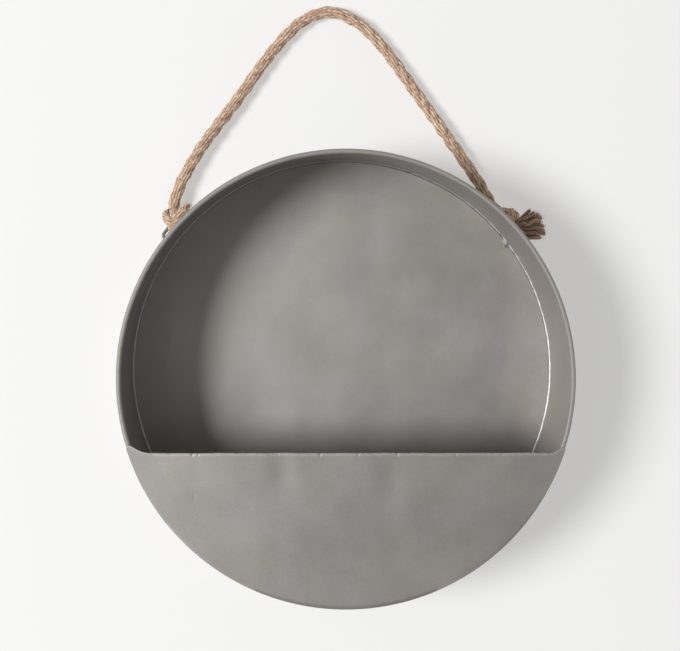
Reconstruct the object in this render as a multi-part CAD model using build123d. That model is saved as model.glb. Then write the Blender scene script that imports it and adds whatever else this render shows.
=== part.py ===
from build123d import *
import math
import os

# Round hanging planter: a flat drum of zinc sheet, open at the front except for a pocket panel
# across its lower third, hung by a jute rope that is tied to two wire lugs.
# Millimetres, +Z up. The open front faces -Y. The origin is the middle of the back face, which
# lies on the wall, so the drum's axis is the Y axis.

# Sheet metal drum
DRUM_R = 190.0
DRUM_DEPTH = 100.0
SHEET = 0.8
PRESS_GAP = 0.05

# Rolled rim: the band's front edge is curled inward round a wire
BEAD_R = 2.1
WIRE_R = BEAD_R - SHEET - PRESS_GAP
CURL_DEGREES = 290.0
BAND_FRONT_Y = -(DRUM_DEPTH - SHEET)
BEAD_AXIS_Y = BAND_FRONT_Y + BEAD_R
BEAD_AXIS_R = DRUM_R - BEAD_R
BAND_IN_R = DRUM_R - SHEET

# Lap joint of the band, at the bottom
LAP_WIDTH = 12.0
LAP_BACK_Y = -4.5
LAP_FRONT_Y = -94.0
LAP_SOLDER_R = 0.9

# Solder bead in the corner between back panel and band
SEAM_LEG = 2.4
SEAM_CROWN = 0.35

# Pocket panel: its hemmed top edge, and the small ears that rise to the rim at both ends
POCKET_TOP_Z = -61.0
POCKET_END_Z = -57.5
HEM_R = 1.1
HEM_GAP = 0.6
HEM_LENGTH = 8.0
HEM_LEFT_X = -162.0
HEM_RIGHT_X = 168.0
LEFT_EAR = [(-178.4, -54.6), (-172.2, -58.0), (-163.5, -61.0)]
RIGHT_EAR = [(177.6, -56.4), (173.0, -59.9), (168.6, -61.0)]

# Solder in the groove between the pocket panel and the rolled rim
GROOVE_IN_R = 188.7
GROOVE_OUT_R = 189.8

# Wire lugs: a level top bar that carries the rope, an outer bar, and a leg square to the band
LUG_Y = -12.0
LUG_WIRE_R = 1.5
LUG_BAR_Z = 130.0
LUG_OUTER_R = 201.5
LUG_LEG_DEGREES = 36.6
LUG_BENDS = [3.5, 3.0]
WELD_R = 3.2
WELD_BACK_R = 3.4
WELD_SINK = 1.2

# Jute rope
ROPE_D = 10.0
EYE_D = 9.0
EYE_X = 150.7
EYE_GAP = 0.3
EYE_ARM = 7.5
EYE_BEND_R = LUG_WIRE_R + EYE_GAP + EYE_D / 2

# Knots: where they sit, and the direction in which the hanging rope leaves them
LEFT_KNOT = (-150.9, -11.9, 141.6)
RIGHT_KNOT = (149.8, -12.1, 140.9)
LEFT_LEAVES = (0.15, 0.04, 0.99)
RIGHT_LEAVES = (-0.69, 0.09, 0.72)
KNOT_CORE_R = 7.2
COLLAR_R = 6.1
COLLAR_D = 9.0
COLLAR_TILT = 24.0

# The rope's route from the left knot over the top to the right knot
ROPE_ROUTE = [
    (-150.8, -11.7, 145.5),
    (-148.6, -11.2, 160.5),
    (-141.0, -10.6, 178.0),
    (-126.2, -9.6, 204.0),
    (-98.0, -8.2, 239.5),
    (-61.5, -6.3, 291.5),
    (-34.0, -5.5, 317.5),
    (-7.0, -5.4, 324.0),
    (17.0, -5.5, 311.0),
    (36.5, -5.8, 291.0),
    (66.1, -7.2, 247.0),
    (93.3, -8.7, 208.7),
    (123.1, -10.2, 168.6),
    (146.9, -11.7, 144.0),
]

# Cut rope ends: centre, half width along Y and half height along Z of each section
LEFT_TAIL = [
    (-149.0, -14.0, 142.5, 4.4, 4.4),
    (-142.8, -15.2, 146.0, 4.5, 4.5),
    (-138.6, -16.0, 149.0, 4.8, 5.0),
]
RIGHT_TAIL = [
    (150.5, -17.0, 139.5, 4.4, 4.4),
    (157.0, -20.0, 133.5, 4.6, 4.6),
    (164.0, -20.4, 131.4, 5.0, 6.2),
    (171.0, -20.2, 131.0, 5.6, 10.4),
    (179.6, -19.8, 131.2, 6.2, 13.6),
]


def drum_solid(radius, depth):
    """A cylinder on the drum's axis, from the wall plane forward."""
    return extrude(Plane.XZ * Circle(radius), depth)


def turned(section, start_degrees, sweep_degrees):
    """Turns a section drawn in X (radius) and Y about the drum's axis, from an angle above +X."""
    solid = revolve(section, Axis.Y, revolution_arc=-sweep_degrees)
    return Rot(0, -start_degrees, 0) * solid


def side_band():
    """The rolled band, its curled rim, and the inner lap that closes it at the bottom."""
    centre = (BEAD_AXIS_R, BEAD_AXIS_Y)
    outer_curl = CenterArc(centre, BEAD_R, 0, -CURL_DEGREES)
    inner_curl = CenterArc(centre, BEAD_R - SHEET, 0, -CURL_DEGREES)
    outline = [
        Line((DRUM_R, 0), (DRUM_R, BEAD_AXIS_Y)),
        outer_curl,
        Line(outer_curl @ 1, inner_curl @ 1),
        inner_curl,
        Line((BAND_IN_R, BEAD_AXIS_Y), (BAND_IN_R, 0)),
        Line((BAND_IN_R, 0), (DRUM_R, 0)),
    ]
    band = revolve(make_face(outline), Axis.Y)
    lap = Polyline(
        (BAND_IN_R - SHEET, LAP_BACK_Y),
        (BAND_IN_R + SHEET / 2, LAP_BACK_Y),
        (BAND_IN_R + SHEET / 2, LAP_FRONT_Y),
        (BAND_IN_R - SHEET, LAP_FRONT_Y),
        close=True,
    )
    lap_degrees = math.degrees(LAP_WIDTH / DRUM_R)
    return band + turned(make_face(lap), -90, lap_degrees)


def band_seam():
    """The line of solder along the inner end of the band's lap."""
    end_angle = math.radians(-90) + LAP_WIDTH / DRUM_R
    corner = (BAND_IN_R * math.cos(end_angle), BAND_IN_R * math.sin(end_angle))
    section = Plane.XZ.offset(-LAP_BACK_Y) * Pos(*corner) * Circle(LAP_SOLDER_R)
    rod = extrude(section, LAP_BACK_Y - LAP_FRONT_Y)
    return (rod & drum_solid(BAND_IN_R, DRUM_DEPTH)) - side_band()


def rim_wire():
    """The stiffening wire inside the rolled rim."""
    return revolve(Pos(BEAD_AXIS_R, BEAD_AXIS_Y) * Circle(WIRE_R), Axis.Y)


def back_panel():
    """The flat disc that closes the drum against the wall."""
    return drum_solid(BAND_IN_R - PRESS_GAP, SHEET)


def back_seam():
    """The solder bead that joins the back panel to the band, all the way round."""
    on_panel = Vector(BAND_IN_R - SEAM_LEG, -SHEET)
    on_band = Vector(BAND_IN_R, -SHEET - SEAM_LEG)
    crown = (on_panel + on_band) * 0.5 + Vector(-SEAM_CROWN, -SEAM_CROWN)
    outline = Polyline((BAND_IN_R, -SHEET), on_panel, crown, on_band, close=True)
    return revolve(make_face(outline), Axis.Y)


def pocket_corner(side):
    """Where the pocket panel's end meets the drum's outline, in X and Z."""
    return (side * math.sqrt(DRUM_R**2 - POCKET_END_Z**2), POCKET_END_Z)


def pocket_panel():
    """The front sheet of the pocket, with its hem folded back and down behind the top edge."""
    hem_centre_z = POCKET_TOP_Z - HEM_R
    outline = [
        ThreePointArc(pocket_corner(-1), (0, -DRUM_R), pocket_corner(1)),
        Line(pocket_corner(1), RIGHT_EAR[0]),
        ThreePointArc(*RIGHT_EAR),
        Polyline(RIGHT_EAR[2], (HEM_RIGHT_X, POCKET_TOP_Z), (HEM_RIGHT_X, hem_centre_z)),
        Line((HEM_RIGHT_X, hem_centre_z), (HEM_LEFT_X, hem_centre_z)),
        Polyline((HEM_LEFT_X, hem_centre_z), (HEM_LEFT_X, POCKET_TOP_Z), LEFT_EAR[2]),
        ThreePointArc(*LEFT_EAR),
        Line(LEFT_EAR[0], pocket_corner(-1)),
    ]
    sheet = extrude(Plane.XZ.offset(DRUM_DEPTH - SHEET) * make_face(outline), SHEET)

    fold_centre = (-DRUM_DEPTH + HEM_R, hem_centre_z)
    leaf_back_y = -DRUM_DEPTH + 2 * SHEET + HEM_GAP
    leaf_foot_z = POCKET_TOP_Z - HEM_LENGTH
    fold = [
        CenterArc(fold_centre, HEM_R, 0, 180),
        Line((-DRUM_DEPTH, hem_centre_z), (-DRUM_DEPTH + SHEET, hem_centre_z)),
        CenterArc(fold_centre, HEM_R - SHEET, 0, 180),
        Line((leaf_back_y - SHEET, hem_centre_z), (leaf_back_y - SHEET, leaf_foot_z)),
        Line((leaf_back_y - SHEET, leaf_foot_z), (leaf_back_y, leaf_foot_z)),
        Line((leaf_back_y, leaf_foot_z), (leaf_back_y, hem_centre_z)),
    ]
    hem = extrude(Plane.YZ.offset(HEM_LEFT_X) * make_face(fold), HEM_RIGHT_X - HEM_LEFT_X)
    return sheet + hem


def bead_front_y(radius):
    """How far forward the rolled rim reaches at this radius."""
    return BEAD_AXIS_Y - math.sqrt(BEAD_R**2 - (radius - BEAD_AXIS_R) ** 2)


def pocket_seam():
    """The solder that fills the groove between the pocket panel and the rolled rim behind it."""
    middle_r = (GROOVE_IN_R + GROOVE_OUT_R) / 2
    outline = Polyline(
        (GROOVE_IN_R, BAND_FRONT_Y),
        (GROOVE_OUT_R, BAND_FRONT_Y),
        (GROOVE_OUT_R, bead_front_y(GROOVE_OUT_R)),
        (middle_r, bead_front_y(middle_r)),
        (GROOVE_IN_R, bead_front_y(GROOVE_IN_R)),
        close=True,
    )
    end_degrees = math.degrees(math.asin(-POCKET_END_Z / DRUM_R)) + 1
    return turned(make_face(outline), end_degrees - 180, 180 - 2 * end_degrees)


def on_wall(radius, degrees, side):
    """A point in the lugs' plane, at an angle above the side's horizontal."""
    angle = math.radians(degrees)
    return Vector(side * radius * math.cos(angle), LUG_Y, radius * math.sin(angle))


def bar_end_x(radius):
    """How far out the level top bar meets a circle of this radius."""
    return math.sqrt(radius**2 - LUG_BAR_Z**2)


def lug(side):
    """A bent wire lug, welded to the outside of the band."""
    path = FilletPolyline(
        (side * bar_end_x(DRUM_R - 1), LUG_Y, LUG_BAR_Z),
        (side * bar_end_x(LUG_OUTER_R), LUG_Y, LUG_BAR_Z),
        on_wall(LUG_OUTER_R, LUG_LEG_DEGREES, side),
        on_wall(DRUM_R - 1, LUG_LEG_DEGREES, side),
        radius=LUG_BENDS,
    )
    wire = sweep(Plane(origin=path @ 0, z_dir=path % 0) * Circle(LUG_WIRE_R), path=path)
    return wire - drum_solid(DRUM_R, DRUM_DEPTH)


def lug_welds(side):
    """The welds round both feet of a lug, and the one that shows through in the back corner."""
    feet = [Vector(side * bar_end_x(DRUM_R), LUG_Y, LUG_BAR_Z), on_wall(DRUM_R, LUG_LEG_DEGREES, side)]
    solids = []
    for foot in feet:
        weld = Pos(foot) * Sphere(WELD_R) - drum_solid(DRUM_R, DRUM_DEPTH) - lug(side)
        solids.extend(weld.solids())
    corner = on_wall(BAND_IN_R - WELD_SINK, LUG_LEG_DEGREES, side)
    blob = Pos(corner.X, -SHEET - WELD_SINK, corner.Z) * Sphere(WELD_BACK_R)
    inside = blob & Pos(0, -SHEET, 0) * drum_solid(BAND_IN_R, DRUM_DEPTH / 2)
    solids.extend((inside - back_seam()).solids())
    return Compound(children=solids)


def rope_path():
    """Straight runs joined by tangent arcs, each as large as its two runs allow."""
    points = [Vector(*point) for point in ROPE_ROUTE]
    runs = [end - start for start, end in zip(points, points[1:])]
    radii = []
    for before, after in zip(runs, runs[1:]):
        half_turn = math.radians(before.get_angle(after)) / 2
        radii.append(0.45 * min(before.length, after.length) / math.tan(half_turn))
    print("rope arc radii, mm:", [round(radius, 1) for radius in radii])
    return FilletPolyline(*points, radius=radii)


def rope():
    """The free part of the rope, between the two knots."""
    path = rope_path()
    tube = sweep(Plane(origin=path @ 0, z_dir=path % 0) * Circle(ROPE_D / 2), path=path)
    expected_volume = math.pi * (ROPE_D / 2) ** 2 * path.length
    print(f"rope length {path.length:.1f} mm")
    print(f"rope volume {tube.volume:.0f} mm3, section by length {expected_volume:.0f} mm3")
    return tube


def eye(side):
    """The half turn of rope under a lug's top bar, with its two arms going up into the knot."""
    x = side * EYE_X
    top_z = LUG_BAR_Z + EYE_ARM
    front_y = LUG_Y - EYE_BEND_R
    back_y = LUG_Y + EYE_BEND_R
    path = Wire(
        [
            Line((x, front_y, top_z), (x, front_y, LUG_BAR_Z)).edge(),
            ThreePointArc(
                (x, front_y, LUG_BAR_Z), (x, LUG_Y, LUG_BAR_Z - EYE_BEND_R), (x, back_y, LUG_BAR_Z)
            ).edge(),
            Line((x, back_y, LUG_BAR_Z), (x, back_y, top_z)).edge(),
        ]
    )
    return sweep(Plane(origin=(x, front_y, top_z), z_dir=(0, 0, -1)) * Circle(EYE_D / 2), path=path)


def knot(centre, leaves, hanging_rope, rope_eye):
    """A noose knot: a tilted collar turn round a core, where the rope and its eye go in."""
    collar_axis = Vector(*leaves).rotate(Axis.X, COLLAR_TILT)
    collar = Plane(origin=centre, z_dir=collar_axis) * Torus(COLLAR_R, COLLAR_D / 2)
    return Pos(*centre) * Sphere(KNOT_CORE_R) + collar - hanging_rope - rope_eye


def tail(sections, knot_solid, rope_eye, hanging_rope):
    """A cut rope end that spreads as its strands come apart."""
    outlines = [
        Plane(origin=(x, y, z), x_dir=(0, 1, 0), z_dir=(1, 0, 0)) * Ellipse(half_y, half_z)
        for x, y, z, half_y, half_z in sections
    ]
    return loft(outlines) - knot_solid - rope_eye - hanging_rope


def largest(shape):
    """The main solid of a shape that a cut may have left with crumbs."""
    return max(shape.solids(), key=lambda solid: solid.volume)


def build_parts():
    """Every separate piece of the planter, by name."""
    hanging_rope = rope()
    parts = {
        "back_panel": back_panel(),
        "side_band": side_band(),
        "rim_wire": rim_wire(),
        "band_seam": band_seam(),
        "back_seam": back_seam(),
        "pocket_panel": pocket_panel(),
        "pocket_seam": pocket_seam(),
        "rope": hanging_rope,
    }
    ends = {
        "left": (-1, LEFT_KNOT, LEFT_LEAVES, LEFT_TAIL),
        "right": (1, RIGHT_KNOT, RIGHT_LEAVES, RIGHT_TAIL),
    }
    for name, (side, knot_centre, leaves, tail_sections) in ends.items():
        parts[f"{name}_lug"] = lug(side)
        parts[f"{name}_lug_welds"] = lug_welds(side)
        rope_eye = eye(side)
        rope_knot = largest(knot(knot_centre, leaves, hanging_rope, rope_eye))
        parts[f"{name}_eye"] = rope_eye
        parts[f"{name}_knot"] = rope_knot
        parts[f"{name}_tail"] = largest(tail(tail_sections, rope_knot, rope_eye, hanging_rope))
    return parts


os.makedirs("parts", exist_ok=True)
for node_name, shape in build_parts().items():
    export_step(shape, f"parts/{node_name}.step")
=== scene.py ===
import math
import bpy
import numpy as np
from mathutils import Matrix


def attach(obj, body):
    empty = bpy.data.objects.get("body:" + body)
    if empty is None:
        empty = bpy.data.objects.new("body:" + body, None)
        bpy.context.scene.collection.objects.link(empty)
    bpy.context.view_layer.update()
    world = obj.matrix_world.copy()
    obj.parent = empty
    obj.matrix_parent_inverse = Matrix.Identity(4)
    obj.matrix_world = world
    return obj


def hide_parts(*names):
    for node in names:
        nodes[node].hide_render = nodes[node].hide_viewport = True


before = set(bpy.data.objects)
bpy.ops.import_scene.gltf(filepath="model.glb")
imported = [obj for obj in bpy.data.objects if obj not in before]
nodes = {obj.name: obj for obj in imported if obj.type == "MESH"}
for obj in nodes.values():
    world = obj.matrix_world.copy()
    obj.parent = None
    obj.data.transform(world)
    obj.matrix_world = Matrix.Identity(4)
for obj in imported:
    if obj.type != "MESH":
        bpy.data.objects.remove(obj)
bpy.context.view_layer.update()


# Side band. A strip of zinc-coated steel sheet rolled into a hoop, with its front edge curled
# inward round a wire and its two ends lapped and soldered at the bottom. It was rolled and tapped
# by hand, so the wall and the curl wander by a few tenths of a millimetre.
DRUM_R = 0.190
SHEET = 0.0008
BAND_IN_R = DRUM_R - SHEET
BEAD_R = 0.0021
BEAD_AXIS_R = DRUM_R - BEAD_R
BEAD_AXIS_Y = -0.0971
CURL_TURN = math.radians(290)
LAP_WIDTH = 0.012
LAP_BACK_Y = -0.0045
LAP_FRONT_Y = -0.094


def wander(along, waves, reach, seed):
    """A smooth random line: sines of the place along, one for each wave count, each with its own
    random phase and strength, scaled to stay within the reach."""
    random = np.random.default_rng(seed)
    phase, strength = random.uniform(0, 2 * np.pi, len(waves)), random.uniform(0.5, 1, len(waves))
    waved = np.sin(np.multiply.outer(along, np.array(waves)) + phase) * strength
    return reach * waved.sum(-1) / strength.sum()


def surface(name, points, wrap_rows=False, wrap_columns=False, caps=False, sharp=35):
    """A mesh over grids of points, given as grid, row, column, xyz: a quad between each point and
    its neighbours, facing along column direction x row direction. Wrapping joins a last row or
    column to the first, and caps close the first and last rows. Folds past sharp degrees stay."""
    number = np.arange(points[..., 0].size).reshape(points.shape[:-1])
    ends = np.concatenate([number[:, 0, ::-1], number[:, -1]]) if caps else number[:0, 0]
    if wrap_rows:
        number = np.concatenate([number, number[:, :1]], axis=1)
    if wrap_columns:
        number = np.concatenate([number, number[:, :, :1]], axis=2)
    corners = [number[:, :-1, :-1], number[:, :-1, 1:], number[:, 1:, 1:], number[:, 1:, :-1]]
    quads = np.stack(corners, axis=-1).reshape(-1, 4)
    mesh = bpy.data.meshes.new(name)
    mesh.from_pydata(points.reshape(-1, 3).tolist(), [], quads.tolist() + ends.tolist())
    mesh.shade_smooth()
    mesh.set_sharp_from_angle(angle=math.radians(sharp))
    piece = bpy.data.objects.new(name, mesh)
    bpy.context.scene.collection.objects.link(piece)
    return piece


def note_points(piece, name, values, kind="FLOAT"):
    """Keeps a number at each point of a piece, or with kind FLOAT_VECTOR a place, which its
    material reads under this name."""
    field = "value" if kind == "FLOAT" else "vector"
    piece.data.attributes.new(name, kind, "POINT").data.foreach_set(field, np.ravel(values))


def turned(radius, depth, angle):
    """A profile turned about the drum's axis: (radius cos angle, depth, radius sin angle)."""
    return np.stack([radius * np.cos(angle), depth + 0 * angle, radius * np.sin(angle)], axis=-1)


def colour(code):
    """sRGB hex to linear: c / 12.92 up to 0.04045, and ((c + 0.055) / 1.055) ** 2.4 above it."""
    value = np.array([int(code[i : i + 2], 16) / 255 for i in (1, 3, 5)])
    linear = np.where(value <= 0.04045, value / 12.92, ((value + 0.055) / 1.055) ** 2.4)
    return (*linear.tolist(), 1.0)


def add_node(tree, kind, inputs=None, **settings):
    """Adds a node with its settings. Each input gets a value, or a link from another socket."""
    made = tree.nodes.new(kind)
    for name, value in settings.items():
        setattr(made, name, value)
    for name, value in (inputs or {}).items():
        if isinstance(value, bpy.types.NodeSocket):
            tree.links.new(value, made.inputs[name])
        else:
            made.inputs[name].default_value = value
    return made


around = np.linspace(-np.pi, np.pi, 960, endpoint=False)
wall_y = np.concatenate([np.linspace(0, LAP_BACK_Y, 3), np.linspace(-0.0055, LAP_FRONT_Y, 18)])
wall_rows = wall_y.size
outer_turn, inner_turn = np.linspace(0, -CURL_TURN, 29), np.linspace(-CURL_TURN, 0, 15)
inside_from = wall_rows + outer_turn.size + inner_turn.size
profile_r = np.concatenate([
    np.full(wall_rows, DRUM_R),
    BEAD_AXIS_R + BEAD_R * np.cos(outer_turn),
    BEAD_AXIS_R + (BEAD_R - SHEET) * np.cos(inner_turn),
    np.full(wall_rows, BAND_IN_R),
])
profile_y = np.concatenate([
    wall_y,
    BEAD_AXIS_Y + BEAD_R * np.sin(outer_turn),
    BEAD_AXIS_Y + (BEAD_R - SHEET) * np.sin(inner_turn),
    wall_y[::-1],
])
on_curl = np.zeros(profile_r.size)
on_curl[wall_rows:inside_from] = 1
radius, depth = profile_r[:, None] + 0 * around, profile_y[:, None] + 0 * around
# The wall leans in and out by up to 0.5 mm half way to the front, and not at the back panel.
lean = 0.00025 + wander(around, [2, 3, 5, 9, 14], 0.00025, seed=3)
radius -= lean * np.sin(np.clip(-depth / 0.1, 0, 1) * np.pi)
# The curl is tapped down unevenly: short flats along it, up to 0.25 mm deep.
taps = 0.00012 + wander(around, [17, 31, 53, 88, 141], 0.00012, seed=5)
radius -= taps * on_curl[:, None]
depth += (0.00010 + wander(around, [13, 27, 61, 97, 160], 0.00010, seed=7)) * on_curl[:, None]
# The lap is one sheet thicker inside, and its outer end shows as a fine groove.
lap_from = -np.pi / 2
in_lap = (around > lap_from) & (around < lap_from + LAP_WIDTH / DRUM_R)
lap_rows = (profile_y < LAP_BACK_Y) & (profile_y >= LAP_FRONT_Y)
inside = np.arange(profile_r.size) >= inside_from
radius -= SHEET * np.outer(lap_rows & inside, in_lap)
radius -= 0.0004 * np.outer(lap_rows & ~inside, np.abs(around - lap_from) < 0.004)
band = surface("side_band_dressed", turned(radius, depth, around)[None], True, True)

# Zinc coating dulled by handling and pickling. It scatters light softly, so the sheet looks a
# satin mid grey, with faint cloudy patches that lean olive or purple and a fine dark grain.
zinc = bpy.data.materials.new("dulled_zinc_sheet")
zinc.use_nodes = True
tree = zinc.node_tree
shader = tree.nodes["Principled BSDF"]
place = add_node(tree, "ShaderNodeTexCoord").outputs["Object"]
cloud = add_node(
    tree, "ShaderNodeTexNoise", {"Vector": place, "Scale": 1 / 0.055, "Detail": 4, "Roughness": 0.6}
)
cloud_share = add_node(
    tree, "ShaderNodeMapRange", {"Value": cloud.outputs["Fac"], "From Min": 0.25, "From Max": 0.75}
)
hue_patch = add_node(
    tree,
    "ShaderNodeTexNoise",
    {"Vector": place, "Scale": 1 / 0.085, "Detail": 2, "Distortion": 0.6},
)
hue_share = add_node(
    tree,
    "ShaderNodeMapRange",
    {"Value": hue_patch.outputs["Fac"], "From Min": 0.30, "From Max": 0.70},
)
warm = add_node(
    tree,
    "ShaderNodeMix",
    {0: cloud_share.outputs["Result"], 6: colour("#A29F97"), 7: colour("#B0ACA5")},
    data_type="RGBA",
)
cool = add_node(
    tree,
    "ShaderNodeMix",
    {0: cloud_share.outputs["Result"], 6: colour("#A29D9D"), 7: colour("#B0ABAB")},
    data_type="RGBA",
)
patches = add_node(
    tree,
    "ShaderNodeMix",
    {0: hue_share.outputs["Result"], 6: warm.outputs[2], 7: cool.outputs[2]},
    data_type="RGBA",
)
# Grain of about 1.5 mm, coarser than the real one so that it shows.
grain = add_node(
    tree,
    "ShaderNodeTexNoise",
    {"Vector": place, "Scale": 1 / 0.0015, "Detail": 3, "Roughness": 0.7},
)
grain_tone = add_node(
    tree,
    "ShaderNodeMapRange",
    {
        "Value": grain.outputs["Fac"],
        "From Min": 0.3,
        "From Max": 0.7,
        "To Min": 0.95,
        "To Max": 1.04,
    },
    name="grain_tone",
)
zinc_tone = add_node(
    tree,
    "ShaderNodeMix",
    {0: 1.0, 6: patches.outputs[2], 7: grain_tone.outputs["Result"]},
    data_type="RGBA",
    blend_type="MULTIPLY",
)
# Edges and folds are made brighter, partly by rubbed wear and partly as a painted highlight,
# more in some places than in others about 4 mm away.
wear_and_highlight_noise = add_node(tree, "ShaderNodeTexNoise", {"Vector": place, "Scale": 1 / 0.004, "Detail": 2})
wear_and_highlight_share = add_node(
    tree, "ShaderNodeMapRange", {"Value": wear_and_highlight_noise.outputs["Fac"], "From Min": 0.05, "From Max": 0.58}
)
edge = add_node(tree, "ShaderNodeAttribute", attribute_name="edge_wear_and_highlight").outputs["Fac"]
edge_share = add_node(
    tree, "ShaderNodeMath", {0: edge, 1: wear_and_highlight_share.outputs["Result"]}, operation="MULTIPLY"
)
edge_tone = add_node(
    tree,
    "ShaderNodeMix",
    {0: edge_share.outputs[0], 6: zinc_tone.outputs[2], 7: colour("#D2CCC8")},
    data_type="RGBA",
)
zinc_rough = add_node(
    tree,
    "ShaderNodeMapRange",
    {
        "Value": cloud.outputs["Fac"],
        "From Min": 0.3,
        "From Max": 0.7,
        "To Min": 0.52,
        "To Max": 0.58,
    },
)
# The coating on the rolled rim is crazed by the rolling, which leaves it more matt.
rolled = add_node(tree, "ShaderNodeAttribute", attribute_name="rolled").outputs["Fac"]
sheet_rough = add_node(
    tree,
    "ShaderNodeMath",
    {0: rolled, 1: 0.22, 2: zinc_rough.outputs["Result"]},
    operation="MULTIPLY_ADD",
)
zinc_bump = add_node(
    tree, "ShaderNodeBump", {"Height": grain.outputs["Fac"], "Strength": 0.25, "Distance": 0.0002}
)
shader.inputs["Metallic"].default_value = 0.9
tree.links.new(edge_tone.outputs[2], shader.inputs["Base Color"])
tree.links.new(sheet_rough.outputs[0], shader.inputs["Roughness"])
tree.links.new(zinc_bump.outputs["Normal"], shader.inputs["Normal"])

# The curl is made brighter along the line that stands furthest forward: partly rubbed wear,
# partly a painted highlight.
crest = np.exp(-(((depth - (BEAD_AXIS_Y - BEAD_R)) / 0.0004) ** 2)) * on_curl[:, None]
note_points(band, "edge_wear_and_highlight", 0.06 * crest)
note_points(band, "rolled", np.repeat(on_curl, around.size))
band.data.materials.append(zinc)
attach(band, "drum")
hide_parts("side_band")

# Soft solder, as run into the lap. It is smoother than the sheet round it, so it catches the light.
solder = bpy.data.materials.new("soft_solder")
solder.use_nodes = True
tree = solder.node_tree
shader = tree.nodes["Principled BSDF"]
place = add_node(tree, "ShaderNodeTexCoord").outputs["Object"]
run = add_node(tree, "ShaderNodeTexNoise", {"Vector": place, "Scale": 1 / 0.004, "Detail": 3})
run_tone = add_node(
    tree,
    "ShaderNodeMix",
    {0: run.outputs["Fac"], 6: colour("#8E8C8C"), 7: colour("#B4B1B3")},
    data_type="RGBA",
)
run_rough = add_node(
    tree, "ShaderNodeMapRange", {"Value": run.outputs["Fac"], "To Min": 0.40, "To Max": 0.58}
)
run_bump = add_node(
    tree, "ShaderNodeBump", {"Height": run.outputs["Fac"], "Strength": 0.3, "Distance": 0.0003}
)
shader.inputs["Metallic"].default_value = 1.0
tree.links.new(run_tone.outputs[2], shader.inputs["Base Color"])
tree.links.new(run_rough.outputs["Result"], shader.inputs["Roughness"])
tree.links.new(run_bump.outputs["Normal"], shader.inputs["Normal"])
for name in ("band_seam", "pocket_seam"):
    nodes[name].material_slots[0].material = solder


# Back panel. A disc of the same sheet, dropped into the band from the front and left a little
# uneven by the heat of soldering, so its face rises and falls by up to a millimetre.
PANEL_R = BAND_IN_R - 0.00005
BULGE = 0.0011
FLAT_RING = 0.03


def unevenness(x, z, wavelength, seed):
    """Soft unevenness of a thin sheet, from 0 to 1: the mean of twelve plane waves in random
    directions, with lengths from 0.6 to 1.6 times the wavelength and random phases."""
    random = np.random.default_rng(seed)
    way, phase = random.uniform(0, 2 * np.pi, (2, 12))
    number = 2 * np.pi / (wavelength * random.uniform(0.6, 1.6, 12))
    across = np.multiply.outer(x, np.cos(way) * number) + np.multiply.outer(z, np.sin(way) * number)
    return 0.5 + 0.5 * np.sin(across + phase).mean(-1)


around = np.linspace(-np.pi, np.pi, 480, endpoint=False)
back_r, front_r = np.linspace(0.02, PANEL_R, 12), np.linspace(PANEL_R, 0.0005, 90)
ring_r = np.concatenate([[0.0005], back_r, front_r])
ring_y = np.concatenate([np.zeros(1 + back_r.size), np.full(front_r.size, -SHEET)])
radius = ring_r[:, None] + 0 * around
bulge = BULGE * unevenness(radius * np.cos(around), radius * np.sin(around), 0.075, seed=11)
bulge = bulge * (ring_y < 0)[:, None] * np.clip((PANEL_R - radius) / FLAT_RING, 0, 1) ** 2
depth = ring_y[:, None] - bulge
panel = surface("back_panel_dressed", turned(radius, depth, around)[None], False, True, True)
panel.data.materials.append(zinc)
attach(panel, "drum")
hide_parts("back_panel")


# Solder run in the back corner. It was drawn round by hand with an iron, so the fillet swells and
# thins, and it is the bright line that shows where the back panel meets the band.
SEAM_LEG = 0.0019
SEAM_BITE = 0.0001
around = np.linspace(-np.pi, np.pi, 2400, endpoint=False)
leg = SEAM_LEG * (0.88 + wander(around, [3, 7, 19, 43, 71, 127], 0.12, seed=13))
crown = 0.00030 + wander(around, [5, 23, 57, 103], 0.00012, seed=17)
share = np.linspace(0, 1, 9)[:, None]
bow = crown * np.sin(share * np.pi)
radius = np.vstack([0 * around + BAND_IN_R + SEAM_BITE, BAND_IN_R - leg * (1 - share) - bow])
depth = np.vstack([0 * around - SHEET + SEAM_BITE, -SHEET - leg * share - bow])
radius, depth = radius[::-1], depth[::-1]
seam = surface("back_seam_dressed", turned(radius, depth, around)[None], True, True, sharp=60)
seam.data.materials.append(solder)
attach(seam, "drum")
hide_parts("back_seam")


# Pocket panel. Sheet cut to the drum's outline, with its straight top edge hemmed back for
# stiffness and a small ear left at each end where it climbs to the rim. Handling has left two
# shallow upright dents below the hem, some fainter ones, and a few nicks along it.
FRONT_Y = -0.1
TOP_Z = -0.061
HEM_R = 0.0011
HEM_RISE = 0.0024
HEM_LENGTH = 0.008
HEM_LEFT_X, HEM_RIGHT_X = -0.162, 0.168
LEFT_EAR = [(-0.1811, -0.0576), (-0.1801, -0.0556), (-0.1784, -0.0547), (-0.1758, -0.0558),
            (-0.1722, -0.0581), (-0.1680, -0.0599), (-0.1635, -0.0609), (-0.158, -0.061)]
RIGHT_EAR = [(0.1635, -0.061), (0.1680, -0.0611), (0.1705, -0.0608), (0.1730, -0.0598),
             (0.1758, -0.0578), (0.1776, -0.0565), (0.1795, -0.0564), (0.1811, -0.0576)]
# Dents: middle x and z, half width, half height and depth.
DENTS = [(-0.0530, -0.078, 0.0110, 0.020, 0.00052), (0.0370, -0.088, 0.0120, 0.028, 0.00052),
         (-0.1240, -0.082, 0.0130, 0.018, 0.00018), (0.1000, -0.104, 0.0240, 0.040, 0.00022),
         (-0.1250, -0.0975, 0.0010, 0.0012, 0.00014), (-0.0150, -0.150, 0.030, 0.022, 0.00022)]
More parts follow.
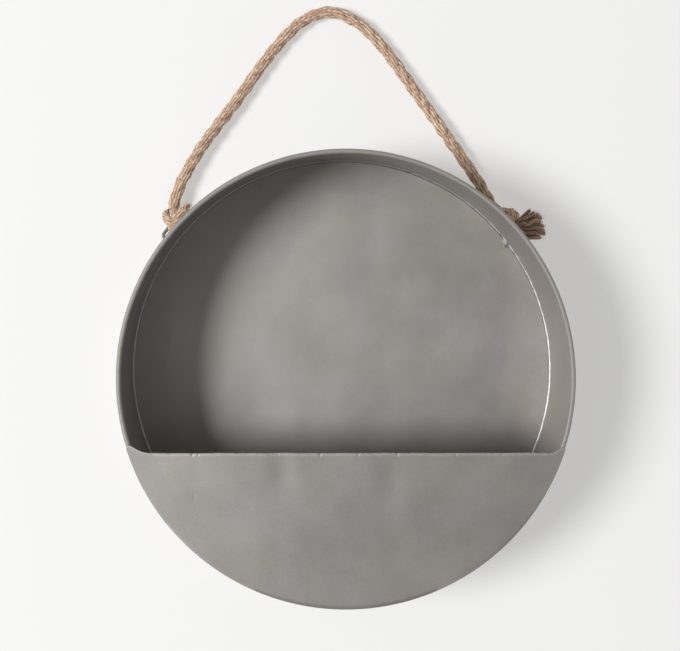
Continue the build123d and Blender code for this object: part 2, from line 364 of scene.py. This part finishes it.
# Nicks in the hem: x, half width and depth. Each runs out 2 mm below the hem's top.
NICK_REACH = 0.0022
NICKS = [(-0.1268, 0.0011, 0.00042), (-0.1218, 0.0007, 0.00025), (-0.0213, 0.0010, 0.00040),
         (0.0100, 0.0009, 0.00030), (0.0421, 0.0010, 0.00036), (-0.0560, 0.0006, 0.0002),
         (0.0905, 0.0008, 0.0002), (0.1290, 0.0007, 0.0002)]

x = np.concatenate([np.linspace(-0.18105, -0.158, 60), np.linspace(-0.1576, 0.1632, 535)[:-1],
                    np.linspace(0.1632, 0.18105, 50)])
ear_x, ear_z = np.array(LEFT_EAR + RIGHT_EAR).T
top = np.interp(x, ear_x, ear_z)
top += wander(x / 0.36 * 2 * np.pi, [2, 3, 7, 13], 0.00022, seed=19) * (np.abs(x) < 0.16)
foot = -np.sqrt(DRUM_R**2 - x**2)
# How far the hem is folded at each x: none on the ears, all of it between its two slanting ends.
hem = np.clip((x - HEM_LEFT_X) / 0.003, 0, 1) * np.clip((HEM_RIGHT_X - x) / 0.0045, 0, 1)
hem = hem * hem * (3 - 2 * hem)
rise = np.minimum(0.0004 + (HEM_RISE - 0.0004) * hem, (top - foot) / 3)
roll = (SHEET / 2) + (HEM_R - SHEET / 2) * hem
inner_roll = 0.00001 + (HEM_R - SHEET) * hem
leaf_foot = top - rise - np.minimum((HEM_LENGTH - HEM_RISE) * hem + 0.00002, (top - foot) / 3)
# Rows up the front, as shares of its height: four close ones at the cut edge, the rest closing up
# towards the fold.
EDGE_ROWS = [0, 0.0006, 0.0018, 0.004]
closing = np.sin(np.linspace(0, np.pi / 2, 58))[1:]
up = np.concatenate([EDGE_ROWS, EDGE_ROWS[-1] + (1 - EDGE_ROWS[-1]) * closing])
front_z = foot + np.outer(up, top - rise - foot)
over = np.linspace(0, np.pi, 13)[1:-1, None]
over_z = top - rise + rise * np.sin(over)
over_y = FRONT_Y + roll - roll * np.cos(over)
leaf_z = top - rise + np.outer(np.linspace(0, 1, 6), leaf_foot - (top - rise))
leaf_y = FRONT_Y + 2 * roll + 0 * leaf_z
inside_z = leaf_z[::-1]
inside_y = np.maximum(leaf_y - SHEET, FRONT_Y + SHEET)
under = np.linspace(0, np.pi, 7)[1:-1, None]
under_z = top - rise + (rise - SHEET * hem).clip(0) * 0.9 * np.sin(under)
under_y = FRONT_Y + SHEET + inner_roll + inner_roll * np.cos(under)
back_z = front_z[::-2]
back_y = FRONT_Y + SHEET + 0 * back_z
# The cut edge is rounded over by 0.75 mm, which turns it away from the light.
edge = np.clip(1 - (front_z - foot) / 0.0007, 0, 1)
front_y = FRONT_Y + 0.00075 * edge**2
depth = np.vstack([front_y, over_y, leaf_y, inside_y, under_y, back_y])
height = np.vstack([front_z, over_z, leaf_z, inside_z, under_z, back_z])
push = sum(
    deep * np.exp(-(((x - mid_x) / wide) ** 2) - ((height - mid_z) / tall) ** 2)
    for mid_x, mid_z, wide, tall, deep in DENTS
)
nicked = sum(deep * np.exp(-(((x - mid_x) / wide) ** 2)) for mid_x, wide, deep in NICKS)
nicked = nicked * np.exp(-(((height - top) / NICK_REACH) ** 2))
push += nicked
inset = np.clip((DRUM_R - np.hypot(x, height)) / 0.02, 0, 1)
push += 0.00055 * unevenness(x + 0 * height, height, 0.060, seed=23) * inset
height = height - 0.8 * nicked
points = np.stack([x + 0 * height, depth + push, height], axis=-1)
pocket = surface("pocket_panel_dressed", points[None], wrap_rows=True, sharp=50)
# The fold along the top is painted bright, a painted highlight of the light that catches it.
# The cut edge is rubbed bright, less evenly.
fold = np.exp(-(((height - top) / 0.0015) ** 2)) * (0.45 + 0.55 * hem)
cut = np.exp(-(((DRUM_R - np.hypot(x, height)) / 0.0006) ** 2)) * (height < TOP_Z - 0.004)
note_points(pocket, "edge_wear_and_highlight", np.clip(0.95 * fold + 0.10 * cut, 0, 1))
# The pocket was cut from a duller sheet than the back: the same zinc, a little darker.
duller_zinc = zinc.copy()
duller_zinc.name = "dulled_zinc_sheet_darker"
darken = duller_zinc.node_tree.nodes["grain_tone"]
darken.inputs["To Min"].default_value = 0.83
darken.inputs["To Max"].default_value = 0.91
pocket.data.materials.append(duller_zinc)
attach(pocket, "drum")
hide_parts("pocket_panel")


# Wire lugs and the wire in the rim. Plain drawn steel wire with a thin grey zinc coat, darker than
# the sheet, bent by hand and welded to the band before it was coated.
wire = bpy.data.materials.new("zinc_coated_wire")
wire.use_nodes = True
tree = wire.node_tree
shader = tree.nodes["Principled BSDF"]
place = add_node(tree, "ShaderNodeTexCoord").outputs["Object"]
draw = add_node(tree, "ShaderNodeTexNoise", {"Vector": place, "Scale": 1 / 0.003, "Detail": 4})
draw_tone = add_node(
    tree,
    "ShaderNodeMix",
    {0: draw.outputs["Fac"], 6: colour("#5A5855"), 7: colour("#85827E")},
    data_type="RGBA",
)
draw_bump = add_node(
    tree, "ShaderNodeBump", {"Height": draw.outputs["Fac"], "Strength": 0.25, "Distance": 0.0002}
)
shader.inputs["Metallic"].default_value = 0.9
shader.inputs["Roughness"].default_value = 0.48
tree.links.new(draw_tone.outputs[2], shader.inputs["Base Color"])
tree.links.new(draw_bump.outputs["Normal"], shader.inputs["Normal"])
for name in ("rim_wire", "left_lug", "right_lug"):
    nodes[name].material_slots[0].material = wire


# Welds. One lump at each foot of a lug, and one where the weld's heat came through into the back
# corner. Each is a run of molten metal that froze in overlapping ripples.
LUG_Y = -0.012
LUG_BAR_Z = 0.130
LUG_LEG = math.radians(36.6)
WELD_R = 0.0032
# The weld behind the left corner hardly came through, and the right one spread out flat.
CORNER_WELD_R = {"left": 0.0030, "right": 0.0052}
CORNER_WELD_FLAT = 0.25
CORNER_WELD_TURN = LUG_LEG + math.radians(0.8)
CORNER_WELD_Y = -0.0012
WELD_BITE = 0.0004
# Weld metal is solder's grey, but darker and rougher from the heat.
weld_metal = solder.copy()
weld_metal.name = "weld_metal"
weld_tone, weld_rough = (weld_metal.node_tree.nodes[made.name] for made in (run_tone, run_rough))
weld_tone.inputs[6].default_value = colour("#7C797E")
weld_tone.inputs[7].default_value = colour("#ABA7AC")
weld_rough.inputs["To Min"].default_value = 0.60
weld_rough.inputs["To Max"].default_value = 0.75
# A ball of radius 1, with a small cap left open at each pole.
turn = np.linspace(0, 2 * np.pi, 48, endpoint=False)
rise_angle = np.linspace(-1.54, 1.54, 33)[:, None]
ball = np.stack([
    np.cos(rise_angle) * np.cos(turn),
    np.cos(rise_angle) * np.sin(turn),
    np.sin(rise_angle) + 0 * turn,
], axis=-1)


def weld(centre, size, seed, low_r, high_r, front_y, flat=1.0):
    """A lumpy ball: its radius is 0.82 + 0.34 tanh of waves over the ball times the size, and flat
    scales its height off the wall. What would pass through the sheet is drawn back to lie inside
    it, between two radii and behind front_y."""
    random = np.random.default_rng(seed)
    way = random.normal(size=(3, 7))
    lumps = np.sin(ball @ (way * 3.2) + random.uniform(0, 6.28, 7)).mean(-1)
    lumps += 0.7 * np.sin(ball @ (way[:, ::-1] * 6.5) + random.uniform(0, 6.28, 7)).mean(-1)
    made = np.array(centre) + ball * (size * (0.82 + 0.34 * np.tanh(lumps)))[..., None]
    made[..., 1] = centre[1] + (made[..., 1] - centre[1]) * flat
    out = np.hypot(made[..., 0], made[..., 2])
    held = np.clip(out, low_r, high_r) / out
    made[..., 0] *= held
    made[..., 2] *= held
    made[..., 1] = np.minimum(made[..., 1], front_y)
    return made


for side, name in ((-1, "left"), (1, "right")):
    bar_x = side * math.sqrt(DRUM_R**2 - LUG_BAR_Z**2)
    leg_x, leg_z = side * DRUM_R * math.cos(LUG_LEG), DRUM_R * math.sin(LUG_LEG)
    corner_x, corner_z = math.cos(CORNER_WELD_TURN), math.sin(CORNER_WELD_TURN)
    corner_r = BAND_IN_R - WELD_BITE
    corner = (side * corner_r * corner_x, CORNER_WELD_Y, corner_r * corner_z)
    foot_r = DRUM_R - WELD_BITE
    lumps = np.stack([
        weld((bar_x, LUG_Y, LUG_BAR_Z), WELD_R, 31 + side, foot_r, 1, 0),
        weld((leg_x, LUG_Y, leg_z), WELD_R, 37 + side, foot_r, 1, 0),
        weld(corner, CORNER_WELD_R[name], 43 + side, 0, foot_r, -SHEET / 2, CORNER_WELD_FLAT),
    ])
    welds = surface(f"{name}_lug_welds_dressed", lumps, False, True, True, sharp=120)
    welds.data.materials.append(weld_metal)
    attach(welds, "drum")
    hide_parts(f"{name}_lug_welds")


# Hanging rope. Ten millimetre jute in three strands of seven yarns, laid softly, one turn in about
# 48 mm. It comes straight up out of the left knot, goes over in one bend at the top and down to
# the right knot, and it carries the planter's weight where it crosses a nail.
ROPE_D = 0.010
ROPE_LAY = 0.048
# Shares of the rope's radius: how far out a strand's middle lies, and the strand's own radius.
STRAND_OUT = 0.40
STRAND_R = 0.635
YARNS = 7
# The yarns' crimp repeats at these two lengths, so that it never looks regular.
CRIMPS = (0.0041, 0.0067)
ROPE_ROUTE = [
    (-0.1516, -0.0117, 0.1445),
    (-0.1487, -0.0112, 0.1597),
    (-0.1397, -0.0106, 0.1784),
    (-0.1236, -0.0096, 0.2053),
    (-0.0954, -0.0082, 0.2412),
    (-0.0588, -0.0069, 0.2935),
    (-0.0323, -0.0066, 0.3184),
    (-0.0071, -0.0066, 0.3244),
    (0.0164, -0.0066, 0.3124),
    (0.0365, -0.0067, 0.2924),
    (0.0681, -0.0072, 0.2480),
    (0.0956, -0.0087, 0.2087),
    (0.1214, -0.0102, 0.1711),
    (0.1308, -0.0110, 0.1540),
    (0.1375, -0.0116, 0.1425),
    (0.1436, -0.0119, 0.1390),
]


def smooth_line(control, step):
    """Points a step apart along the quadratic NURBS spline that these control points steer."""
    curve = bpy.data.curves.new("route", "CURVE")
    curve.dimensions = "3D"
    curve.resolution_u = 24
    spline = curve.splines.new("NURBS")
    spline.points.add(len(control) - 1)
    spline.points.foreach_set("co", np.hstack([control, np.ones((len(control), 1))]).ravel())
    spline.order_u = 3
    spline.use_endpoint_u = True
    route = bpy.data.objects.new("route", curve)
    mesh = bpy.data.meshes.new_from_object(route)
    line = np.empty(len(mesh.vertices) * 3)
    mesh.vertices.foreach_get("co", line)
    line = line.reshape(-1, 3)
    bpy.data.meshes.remove(mesh)
    bpy.data.objects.remove(route)
    bpy.data.curves.remove(curve)
    along = np.concatenate([[0], np.cumsum(np.linalg.norm(np.diff(line, axis=0), axis=1))])
    even = np.linspace(0, along[-1], math.ceil(along[-1] / step) + 1)
    return np.stack([np.interp(even, along, line[:, k]) for k in range(3)], axis=1), even


def frames(line, steady):
    """Directions along a line, at right angles to it near a steady one, and across both."""
    ahead = np.gradient(line, axis=0)
    ahead /= np.linalg.norm(ahead, axis=1)[:, None]
    upright = steady - (ahead @ steady)[:, None] * ahead
    upright /= np.linalg.norm(upright, axis=1)[:, None]
    return ahead, upright, np.cross(upright, ahead)


def laid_rope(name, control, steady, diameter, start_turn=0.0, step=0.0010, sides=56):
    """Three strands wound round a line, once in each lay. A strand's section has seven round
    yarns, 0.92 + 0.17 |sin 3.5 angle| times its radius, which turn back half as fast, so they
    lie nearly along the rope. Each yarn is crimped: it swells and thins every 4 mm or so."""
    line, along = smooth_line(np.array(control), step)
    ahead, upright, across = frames(line, np.array(steady, float))
    strand = np.arange(3)[:, None, None]
    along_ring = along[None, :, None]
    lay = 2 * np.pi * along_ring / (ROPE_LAY * diameter / ROPE_D) + start_turn
    lay = lay + wander(along_ring / 0.05, [1.0, 2.3, 4.1], 0.55, seed=len(control))
    winding = lay + strand * 2 * np.pi / 3
    angle = np.linspace(0, 2 * np.pi, sides, endpoint=False)[None, None, :]
    sway = wander(along_ring / 0.01 + strand * 5, [1.0, 1.9], 0.12, seed=67)
    yarn_angle = angle + 0.52 * lay + strand * 1.3 + sway
    swell = 1 + wander(along_ring / 0.02 + strand * 9, [1.0, 1.7, 3.1], 0.05, seed=61)
    lobe = np.abs(np.sin(YARNS / 2 * yarn_angle))
    yarn = np.floor(yarn_angle * (YARNS / 2) / np.pi) * 2.4 + strand * 1.1
    crimp = np.sin(2 * np.pi * along_ring / CRIMPS[0] + yarn)
    crimp = crimp + np.sin(2 * np.pi * along_ring / CRIMPS[1] + 2.3 * yarn)
    thick = diameter / 2 * STRAND_R * swell * (0.92 + 0.17 * lobe * (1 + 0.15 * crimp))
    out = diameter / 2 * STRAND_OUT
    side_way = out * np.cos(winding) + thick * np.cos(angle)
    up_way = out * np.sin(winding) + thick * np.sin(angle)
    points = (
        line[None, :, None]
        + side_way[..., None] * across[None, :, None]
        + up_way[..., None] * upright[None, :, None]
    )
    piece = surface(name, points, False, True, True, sharp=80)
    # Where a point lies in its untwisted strand, in millimetres with the length drawn in fourfold,
    # so that a pattern on it runs along the yarns.
    spot = np.stack([
        2.4 * np.cos(yarn_angle) + 7 * strand,
        2.4 * np.sin(yarn_angle) + 0 * strand,
        260 * along_ring + 0 * yarn_angle,
    ], axis=-1)
    note_points(piece, "yarn_place", spot, "FLOAT_VECTOR")
    # How deep a point lies: 0 in the grooves between yarns and between strands, 1 outside.
    # The material paints shade, with dust, darker where it is low.
    reach = np.hypot(side_way, up_way) / (diameter / 2)
    on_yarn = 0.15 + 0.85 * np.clip(lobe * (1.3 + 0.2 * crimp), 0, 1)
    note_points(piece, "yarn_open", np.clip((reach - 0.50) / 0.38, 0, 1) * on_yarn)
    return piece, line, (ahead, upright, across)


# Jute fibre. Dry, matt and golden brown, with paler and darker yarns side by side, and darker in
# the grooves: painted shade where light is lost, and dust that sits there.
jute = bpy.data.materials.new("spun_jute")
jute.use_nodes = True
tree = jute.node_tree
shader = tree.nodes["Principled BSDF"]
yarn_place = add_node(tree, "ShaderNodeAttribute", attribute_name="yarn_place").outputs["Vector"]
yarn_open = add_node(tree, "ShaderNodeAttribute", attribute_name="yarn_open").outputs["Fac"]
fibre = add_node(
    tree, "ShaderNodeTexNoise", {"Vector": yarn_place, "Scale": 1.1, "Detail": 4, "Roughness": 0.7}
)
fibre_share = add_node(
    tree, "ShaderNodeMapRange", {"Value": fibre.outputs["Fac"], "From Min": 0.36, "From Max": 0.62}
)
fibre_tone = add_node(
    tree,
    "ShaderNodeMix",
    {0: fibre_share.outputs["Result"], 6: colour("#A07253"), 7: colour("#E8D3BB")},
    data_type="RGBA",
)
# Painted shade: where yarn_open is low, in the grooves, the colour goes to dark brown, for the
# shade there and for dust.
jute_tone = add_node(
    tree,
    "ShaderNodeMix",
    {0: yarn_open, 6: colour("#7A4C33"), 7: fibre_tone.outputs[2]},
    data_type="RGBA",
)
jute_bump = add_node(
    tree, "ShaderNodeBump", {"Height": fibre.outputs["Fac"], "Strength": 0.7, "Distance": 0.0005}
)
shader.inputs["Roughness"].default_value = 0.85
shader.inputs["Specular IOR Level"].default_value = 0.2
shader.inputs["Sheen Weight"].default_value = 0.25
shader.inputs["Sheen Roughness"].default_value = 0.6
tree.links.new(jute_tone.outputs[2], shader.inputs["Base Color"])
tree.links.new(jute_bump.outputs["Normal"], shader.inputs["Normal"])

rope, rope_line, rope_frames = laid_rope("hanging_rope", ROPE_ROUTE, (0, 1, 0), ROPE_D)


def fibres(start, way, length, thickness, curl, seed):
    """Loose hairs: each runs from its start along its way, bends aside by up to curl times its
    length as the square of the distance, and tapers to a point. Three sides, five rings."""
    random = np.random.default_rng(seed)
    count = len(start)
    bend = random.normal(size=(count, 3)) * curl
    share = np.linspace(0, 1, 5)[None, :, None]
    run = way[:, None] * share + bend[:, None] * share**2
    middle = start[:, None] + length[:, None, None] * run
    aside = np.cross(way, [0.37, 0.61, 0.70])
    aside /= np.linalg.norm(aside, axis=1)[:, None]
    above = np.cross(way, aside)
    turn = (np.arange(3) * 2 * np.pi / 3)[None, :, None]
    ring = aside[:, None] * np.cos(turn) + above[:, None] * np.sin(turn)
    width = thickness[:, None, None] / 2 * (1.05 - share)
    return middle[:, :, None] + width[..., None] * ring[:, None]


def hairs_on(line, directions, diameter, count, seed):
    """Fibres that start on a rope's surface at random and lean out of it along the lay."""
    ahead, upright, across = directions
    random = np.random.default_rng(seed)
    at, angle = random.integers(0, len(line), count), random.uniform(0, 2 * np.pi, count)
    out = across[at] * np.cos(angle)[:, None] + upright[at] * np.sin(angle)[:, None]
    forward = random.choice([-1.0, 1.0], count) * random.uniform(0.4, 1.6, count)
    way = out * random.uniform(0.25, 1.0, count)[:, None] + ahead[at] * forward[:, None]
    way /= np.linalg.norm(way, axis=1)[:, None]
    length = random.gamma(2.0, 0.0009, count) + 0.0008
    thickness = random.uniform(0.00012, 0.00022, count)
    return fibres(line[at] + out * diameter * 0.46, way, length, thickness, 0.35, seed)


def hair_piece(name, points, behind=-0.0002):
    """A mesh of hairs, kept in front of the wall."""
    points = points.copy()
    points[..., 1] = np.minimum(points[..., 1], behind)
    piece = surface(name, points, False, True, True, sharp=180)
    note_points(piece, "yarn_place", points * 500, "FLOAT_VECTOR")
    note_points(piece, "yarn_open", np.ones(points[..., 0].size))
    return piece


rope_hairs = hair_piece("rope_hairs", hairs_on(rope_line, rope_frames, ROPE_D, 1500, seed=71))


# Knots. Each end of the rope goes under its lug's level bar, comes up behind, and makes one turn
# round the standing rope, pulled down tight. The turn sits lower in front. Short cut ends stick
# out: the left one is tucked beside the rope, and the right one has come apart into its yarns.
EYE_D = 0.009
KNOT_D = 0.0098
EYE_X = 0.1507
EYE_BEND_R = 0.0063
YARN_D = 0.0029
# Hairs that stand out of each cut yarn, and how deep in it they start.
TUFT = 16
TUFT_ROOT = 0.0012
LEFT_TURN = [(-0.1507, -0.0057, 0.1345), (-0.1535, -0.0050, 0.1385), (-0.1562, -0.0085, 0.1400),
             (-0.1572, -0.0145, 0.1380), (-0.1550, -0.0200, 0.1342), (-0.1508, -0.0218, 0.1318),
             (-0.1462, -0.0210, 0.1362), (-0.1430, -0.0192, 0.1402), (-0.1412, -0.0177, 0.1425)]
RIGHT_TURN = [(0.1507, -0.0057, 0.1330), (0.1560, -0.0048, 0.1350), (0.1560, -0.0050, 0.1392),
              (0.1490, -0.0052, 0.1415), (0.1425, -0.0085, 0.1415), (0.1400, -0.0150, 0.1400),
              (0.1430, -0.0205, 0.1365), (0.1480, -0.0220, 0.1330), (0.1530, -0.0215, 0.1295),
              (0.1560, -0.0205, 0.1270)]
# Frayed yarns of the right end: where each yarn's cut end is.
RIGHT_YARNS = [(0.1672, -0.0200, 0.1430), (0.1703, -0.0245, 0.1408), (0.1748, -0.0190, 0.1397),
               (0.1768, -0.0235, 0.1362), (0.1770, -0.0180, 0.1325), (0.1786, -0.0240, 0.1287),
               (0.1795, -0.0195, 0.1250), (0.1785, -0.0245, 0.1219), (0.1772, -0.0185, 0.1187),
               (0.1722, -0.0230, 0.1183), (0.1745, -0.0265, 0.1275), (0.1728, -0.0150, 0.1345),
               (0.1735, -0.0270, 0.1335), (0.1740, -0.0140, 0.1235), (0.1712, -0.0265, 0.1225),
               (0.1705, -0.0170, 0.1385), (0.1762, -0.0210, 0.1306), (0.1768, -0.0215, 0.1240),
               (0.1730, -0.0215, 0.1378), (0.1750, -0.0205, 0.1200), (0.1742, -0.0240, 0.1310),
               (0.1745, -0.0170, 0.1262), (0.1754, -0.0195, 0.1378), (0.1742, -0.0222, 0.1350),
               (0.1700, -0.0195, 0.1402)]
LEFT_YARNS = [(-0.1382, -0.0165, 0.1462), (-0.1370, -0.0195, 0.1448), (-0.1402, -0.0155, 0.1472),
              (-0.1360, -0.0175, 0.1468), (-0.1392, -0.0200, 0.1478), (-0.1378, -0.0145, 0.1480)]


def yarns(start, middle, end, width, seed):
    """Loose yarns. Each runs from its start to its end along (1 - t)^2 start + 2 t (1 - t) middle
    + t^2 end, swaying and crimped by about half a millimetre. It has five ridges that turn once
    in 9 mm, and it spreads at its cut end."""
    random = np.random.default_rng(seed)
    count, rings, sides = len(end), 22, 20
    t = np.linspace(0, 1, rings)[None, :, None]
    line = (1 - t) ** 2 * start[:, None] + 2 * t * (1 - t) * middle[:, None] + t**2 * end[:, None]
    sway = random.normal(size=(count, 1, 3)) * 0.0006
    crimp = random.normal(size=(count, 1, 3)) * 0.00045
    wave = 2 * np.pi * t * np.linalg.norm(end - start, axis=1)[:, None, None] / 0.008
    phase = random.uniform(0, 6, (count, 1, 1))
    line = line + sway * np.sin(np.pi * t) + crimp * np.sin(wave + phase)
    ahead = np.gradient(line, axis=1)
    ahead /= np.linalg.norm(ahead, axis=2)[..., None]
    upright = np.array([0, 1.0, 0]) - ahead[..., 1:2] * ahead
    upright /= np.linalg.norm(upright, axis=2)[..., None]
    across = np.cross(upright, ahead)
    angle = np.linspace(0, 2 * np.pi, sides, endpoint=False)[None, None, :]
    gone = np.linalg.norm(end - start, axis=1)[:, None, None] * t
    ridge = np.abs(np.sin(2.5 * (angle + 2 * np.pi * gone / 0.009)))
    cut = 1 + 0.35 * np.clip((t - 0.75) / 0.25, 0, 1)
    thick = width[:, None, None] / 2 * cut * (0.72 + 0.28 * ridge)
    ring = (
        across[:, :, None] * (thick * np.cos(angle))[..., None]
        + upright[:, :, None] * (thick * np.sin(angle))[..., None]
    )
    return line[:, :, None] + ring, ridge


def frayed_end(name, neck, bend, ends, width, seed):
    """The yarns of one cut end with the hairs that stand out of them."""
    random = np.random.default_rng(seed)
    ends = np.array(ends)
    start = np.array(neck) + random.uniform(-0.0012, 0.0012, ends.shape)
    start += (ends - ends.mean(0)) * np.array([0.1, 0.5, 0.30])
    middle = np.array(bend) + (ends - ends.mean(0)) * np.array([0.3, 0.9, 0.62])
    points, ridge = yarns(start, middle, ends, random.uniform(0.85, 1.15, len(ends)) * width, seed)
    piece = surface(name, points, False, True, True, sharp=80)
    number = np.arange(len(ends))[:, None, None] * 7.0
    turn = np.linspace(0, 2 * np.pi, 20, endpoint=False)[None, None, :]
    length = np.linspace(0, 25, 22)[None, :, None]
    spot = np.stack([np.cos(turn) + number + 0 * length, np.sin(turn) + 0 * number + 0 * length,
                     0.1 * length + 0 * turn + 0 * number], axis=-1)
    note_points(piece, "yarn_place", spot, "FLOAT_VECTOR")
    # Painted shade and light: deep in the neck a yarn is dark, and it pales towards its cut end,
    # each by its own amount, and the grooves between its ridges are painted darker too.
    shade = np.linspace(0.10, 1.6, 22)[None, :, None] * (0.05 + 0.95 * ridge**1.5)
    shade = np.clip(shade * random.uniform(0.6, 1.3, (len(ends), 1, 1)), 0, 1)
    note_points(piece, "yarn_open", shade)
    tips = np.repeat(ends, TUFT, axis=0)
    tips = tips + random.normal(size=tips.shape) * width * 0.28
    way = np.repeat(ends - middle, TUFT, axis=0)
    way = way / np.linalg.norm(way, axis=1)[:, None] + random.normal(size=way.shape) * 0.35
    way /= np.linalg.norm(way, axis=1)[:, None]
    length = random.uniform(0.0008, 0.0034, len(tips)) + TUFT_ROOT
    thickness = np.full(len(tips), 0.00026)
    tuft = fibres(tips - way * TUFT_ROOT, way, length, thickness, 0.25, seed)
    return piece, hair_piece(f"{name}_hairs", tuft)


on_rope = [rope_hairs]
for side, name, turn_route in ((-1, "left", LEFT_TURN), (1, "right", RIGHT_TURN)):
    x0, front, back = side * EYE_X, LUG_Y - EYE_BEND_R, LUG_Y + EYE_BEND_R
    below = LUG_BAR_Z - EYE_BEND_R
    eye_route = [(x0, LUG_Y - 0.001, 0.142), (x0, front + 0.002, 0.139), (x0, front, 0.135),
                 (x0, front, 0.130), (x0, front, below + 0.0026), (x0, front + 0.0026, below),
                 (x0, back - 0.0026, below), (x0, back, below + 0.0026), (x0, back, 0.130),
                 (x0, back, 0.135), (x0, back - 0.001, 0.140)]
    eye, _, _ = laid_rope(f"{name}_eye_dressed", eye_route, (1, 0, 0), EYE_D, 0.6, 0.0008)
    collar, line, directions = laid_rope(
        f"{name}_knot_dressed", turn_route, (0.15 * side, 0.35, 1), KNOT_D, 1.9 * side, 0.0008
    )
    ends = LEFT_YARNS if side < 0 else RIGHT_YARNS
    neck = line[-1] - 0.004 * directions[0][-1]
    bend = line[-1] + 0.0015 * directions[0][-1]
    tail, tail_hairs = frayed_end(f"{name}_tail_dressed", neck, bend, ends, YARN_D, 83 + side)
    knot_hairs = hair_piece(f"{name}_knot_hairs", hairs_on(line, directions, EYE_D, 60, 89 + side))
    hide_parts(f"{name}_eye")
    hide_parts(f"{name}_knot")
    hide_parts(f"{name}_tail")
    on_rope += [eye, collar, tail, tail_hairs, knot_hairs]

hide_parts("rope")
for piece in [rope, *on_rope]:
    piece.data.materials.append(jute)
    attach(piece, "hanger")


# Wall. A plain white painted wall stands behind the planter. It shows from the front only, so the
# planter's back can be seen, and it takes the shadow without lighting the planter itself. Part of
# its paleness is its own, so that the shadow on it stays as light as in a white room.
corners = np.array([[[-3, 0.0006, -3], [3, 0.0006, -3]], [[-3, 0.0006, 3], [3, 0.0006, 3]]], float)
wall = surface("wall", corners[None])
paint = bpy.data.materials.new("matt_white_wall_paint")
paint.use_nodes = True
tree = paint.node_tree
shader = tree.nodes["Principled BSDF"]
shader.inputs["Base Color"].default_value = colour("#BABABA")
shader.inputs["Roughness"].default_value = 0.9
shader.inputs["Specular IOR Level"].default_value = 0.1
shader.inputs["Emission Color"].default_value = colour("#FFFEFD")
shader.inputs["Emission Strength"].default_value = 0.385
behind = add_node(tree, "ShaderNodeNewGeometry").outputs["Backfacing"]
see_through = add_node(tree, "ShaderNodeBsdfTransparent").outputs["BSDF"]
one_sided = add_node(
    tree, "ShaderNodeMixShader", {0: behind, 1: shader.outputs["BSDF"], 2: see_through}
)
tree.links.new(one_sided.outputs["Shader"], tree.nodes["Material Output"].inputs["Surface"])
wall.data.materials.append(paint)
wall.visible_diffuse = wall.visible_glossy = wall.visible_transmission = wall.visible_shadow = False

# Light. One large soft lamp stands to the left, 40 degrees off the wall's normal, level with the
# planter. The dim room in front of the wall fills the shadows, a little more from the right where
# it has a window, and behind the planter it is pale.
LAMP_WAY = np.array([-0.645, -0.765, 0.0])
LAMP_WAY /= np.linalg.norm(LAMP_WAY)
LAMP_AWAY = 5
lamp_data = bpy.data.lights.new("soft_lamp", "AREA")
lamp_data.shape = "DISK"
lamp_data.size = 1.77
lamp_data.energy = 238
lamp = bpy.data.objects.new("soft_lamp", lamp_data)
bpy.context.scene.collection.objects.link(lamp)
lamp.location = (LAMP_WAY * LAMP_AWAY).tolist()
lamp.rotation_euler = (-lamp.location).to_track_quat("-Z", "Y").to_euler()

world = bpy.data.worlds.new("room")
bpy.context.scene.world = world
world.use_nodes = True
tree = world.node_tree
facing = add_node(tree, "ShaderNodeTexCoord").outputs["Generated"]
facing_parts = add_node(tree, "ShaderNodeSeparateXYZ", {0: facing})
room = add_node(
    tree,
    "ShaderNodeMapRange",
    {
        "Value": facing_parts.outputs["Y"],
        "From Min": -0.25,
        "From Max": 0.25,
        "To Min": 0.30,
        "To Max": 0.85,
    },
    interpolation_type="SMOOTHSTEP",
)
window = add_node(
    tree,
    "ShaderNodeMapRange",
    {
        "Value": facing_parts.outputs["X"],
        "From Min": 0.3,
        "From Max": 0.95,
        "To Min": 0.0,
        "To Max": 0.28,
    },
    interpolation_type="SMOOTHSTEP",
)
strength = add_node(
    tree,
    "ShaderNodeMath",
    {0: room.outputs["Result"], 1: window.outputs["Result"]},
    operation="ADD",
)
tree.links.new(strength.outputs[0], tree.nodes["Background"].inputs["Strength"])
tree.nodes["Background"].inputs["Color"].default_value = (1, 1, 1, 1)

# Camera. It stands about a metre from the wall, slightly left of the planter's middle and above
# it, and looks straight at the wall, as the round outline shows. The photograph was cropped below
# and to the right of what it looks at, so its frame is shifted that way.
camera_data = bpy.data.cameras.new("camera")
camera_data.lens = 61.9
camera_data.sensor_width = 36
camera_data.shift_x = 0.0588
camera_data.shift_y = -0.0801
camera = bpy.data.objects.new("camera", camera_data)
bpy.context.scene.collection.objects.link(camera)
camera.location = (-0.0378, -1.062, 0.0888)
camera.rotation_euler = (math.radians(90), 0, 0)
bpy.context.scene.camera = camera
bpy.context.scene.view_settings.view_transform = "Standard"
